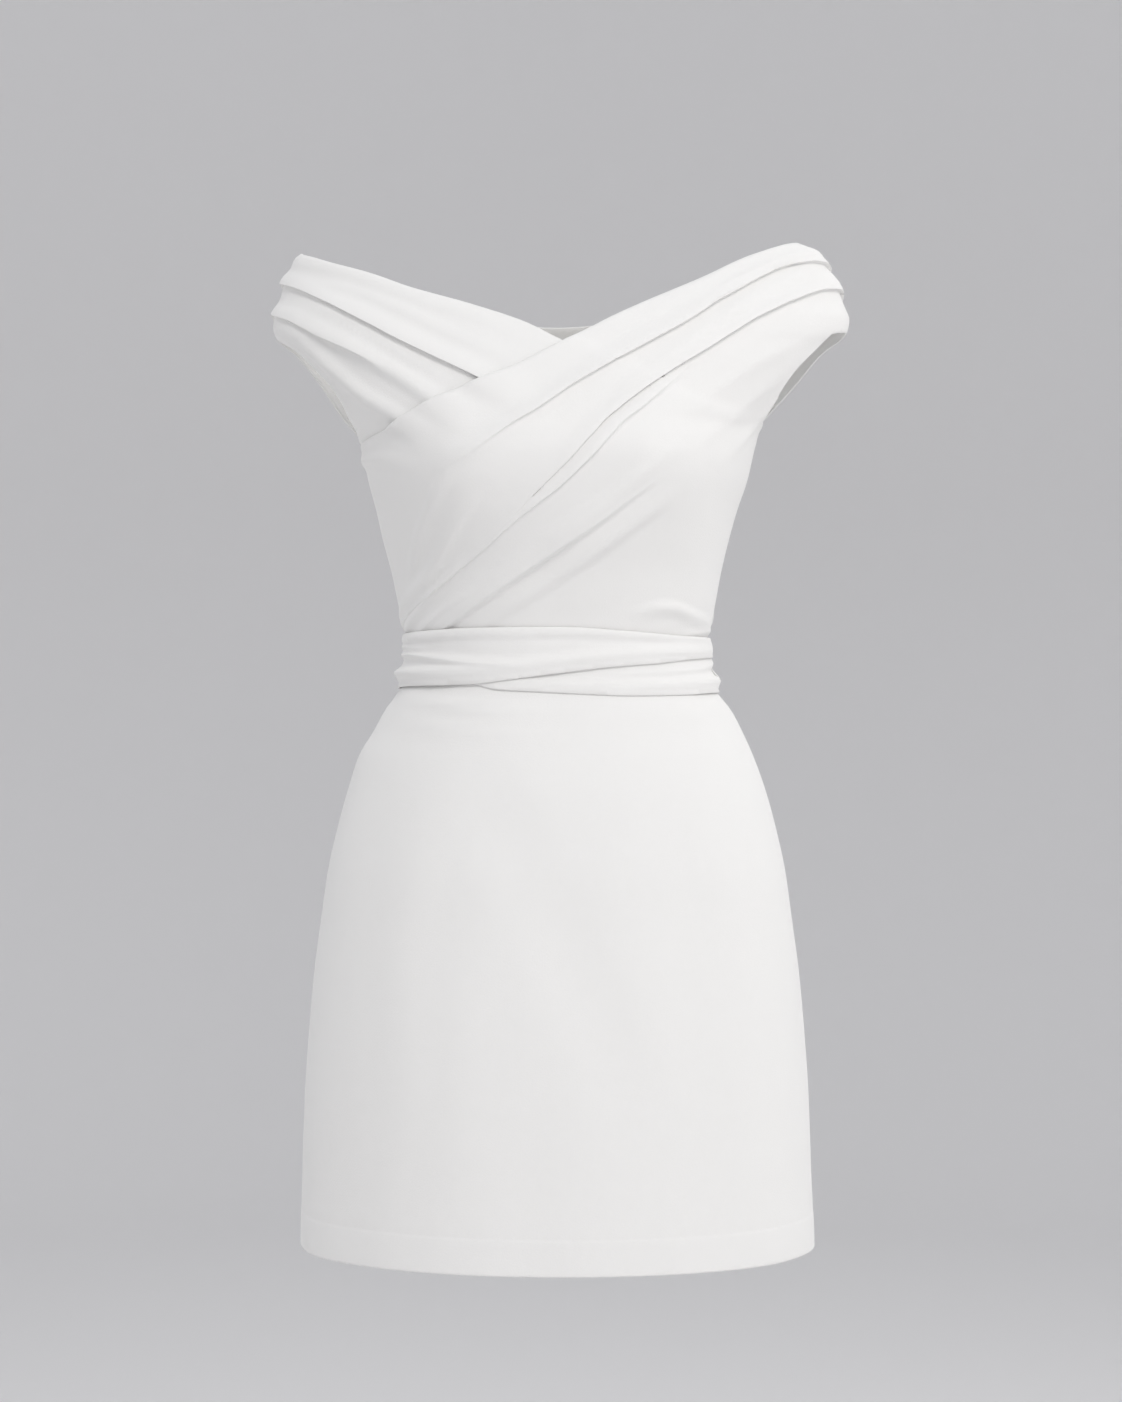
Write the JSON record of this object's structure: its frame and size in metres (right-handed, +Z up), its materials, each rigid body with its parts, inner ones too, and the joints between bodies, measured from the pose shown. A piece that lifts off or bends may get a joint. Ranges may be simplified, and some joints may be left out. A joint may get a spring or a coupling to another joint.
{
  "type": "off-shoulder dress",
  "caption": "Short off-shoulder dress with crossed, pleated wrap bands over the bust, a draped sash at the waist and a plain A-line skirt, open at neck, arms and hem.",
  "frame": {"origin": "midway between the two shoulder bands, where the wearer's shoulders hold the dress up", "axes": "+Z up, -Y the front of the dress, +X towards the shoulder of the over wrap"},
  "size_m": [0.4332, 0.2781, 0.7514],
  "materials": {
    "white_crepe": "matt heavy crepe, fine diagonal grain"
  },
  "bodies": {
    "root": {"wrap_front_under": "white_crepe", "wrap_front_over": "white_crepe", "bodice_back": "white_crepe", "sash_lower": "white_crepe", "sash_upper": "white_crepe", "sash_back": "white_crepe", "skirt_front": "white_crepe", "skirt_back": "white_crepe"}
  },
  "joints": []
}
